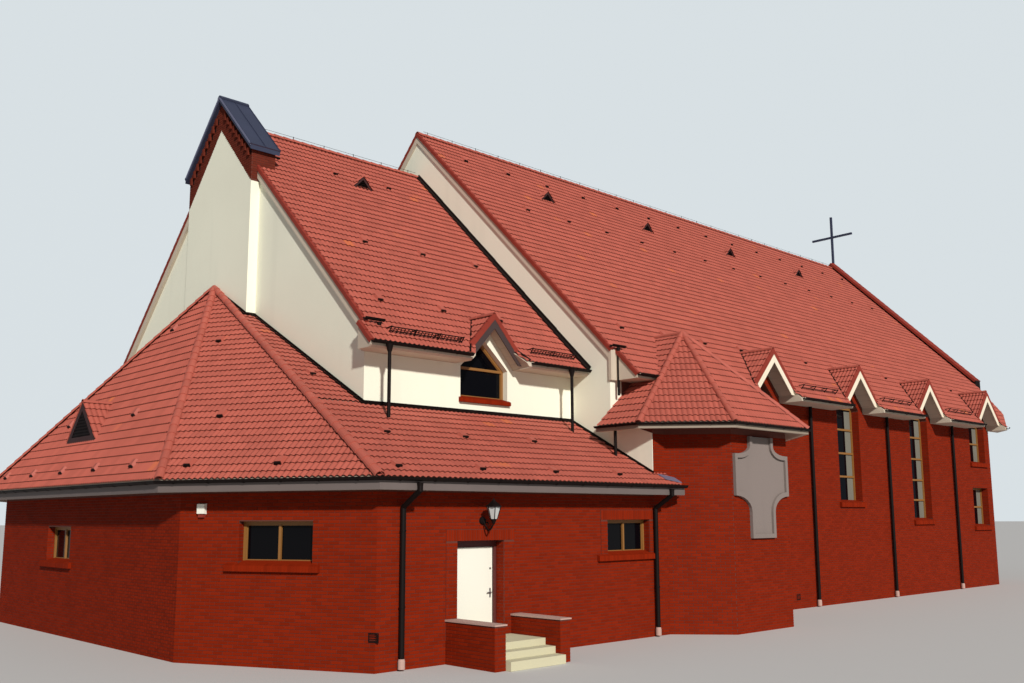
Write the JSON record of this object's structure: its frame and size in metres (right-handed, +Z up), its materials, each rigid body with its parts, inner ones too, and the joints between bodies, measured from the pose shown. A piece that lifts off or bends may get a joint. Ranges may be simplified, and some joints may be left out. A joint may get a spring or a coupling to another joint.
{
  "type": "church building, 1:2 scale model",
  "caption": "Hall church at 1:2 scale with steep tiled roofs, a lower chancel under a bell gable, a ring of low side rooms with a hinged entrance door, side bays and a roof cross.",
  "frame": {"origin": "middle of the footprint's bounding box, at ground level", "axes": "+X along the building towards the far gable, +Y away from the entrance door's side, +Z up"},
  "size_m": [21.4654, 12.79, 10.235],
  "materials": {
    "brick": "matte red facing brick with darker joints",
    "plaster": "fine cream wall plaster",
    "roof_tile": "satin red interlocking clay tiles",
    "sheet_metal": "coated dark grey sheet metal",
    "gutter_metal": "satin very dark brown coating",
    "glass": "clear double glazing in ochre frames",
    "door_paint": "smooth white paint",
    "step_stone": "light cast stone",
    "cement_render": "raw grey cement render",
    "concrete": "plain floor screed"
  },
  "bodies": {
    "building": {"nave_wall_south": "brick", "nave_roof_south": "roof_tile", "nave_windows_south": "glass", "nave_wall_north": "brick", "nave_roof_north": "roof_tile", "nave_windows_north": "glass", "nave_east_gable_wall": "plaster", "west_gable_wall": "plaster", "west_windows": "glass", "west_parapet": "roof_tile", "roof_cross": "sheet_metal", "hall_floor": "concrete", "nave_gutter_south": "gutter_metal", "nave_gutter_north": "gutter_metal", "chancel_wall_south": "plaster", "chancel_roof_south": "roof_tile", "chancel_window_south": "glass", "chancel_wall_north": "plaster", "chancel_roof_north": "roof_tile", "chancel_window_north": "glass", "chancel_gable_wall": "plaster", "bell_gable_head": "brick", "bell_gable_roof": "sheet_metal", "chancel_gutter_south": "gutter_metal", "chancel_gutter_north": "gutter_metal", "annex_roof_south": "roof_tile", "annex_roof_southeast": "roof_tile", "annex_roof_east": "roof_tile", "annex_roof_northeast": "roof_tile", "annex_roof_north": "roof_tile", "annex_wall_south_left": "brick", "annex_wall_over_door": "brick", "annex_wall_south_right": "brick", "annex_wall_north": "brick", "annex_wall_southeast": "brick", "annex_wall_east": "brick", "annex_wall_northeast": "brick", "annex_windows_east": "glass", "annex_window_south": "glass", "annex_windows_north": "glass", "annex_floor": "concrete", "annex_gutter": "gutter_metal", "bay_walls_south": "brick", "bay_roof_south": "roof_tile", "bay_panel_south": "cement_render", "bay_walls_north": "brick", "bay_roof_north": "roof_tile", "bay_panel_north": "cement_render", "door_frame": "door_paint", "door_steps": "step_stone", "wall_lantern": "gutter_metal"},
    "entrance_door": {"door_leaf": "door_paint"}
  },
  "joints": [
    {"name": "entrance_door_hinge", "type": "hinge", "parent": "building", "child": "entrance_door", "pos_m": [-8.1088, -5.21, 0.74], "axis": [0, 0, 1], "range_deg": [0, 90]}
  ]
}
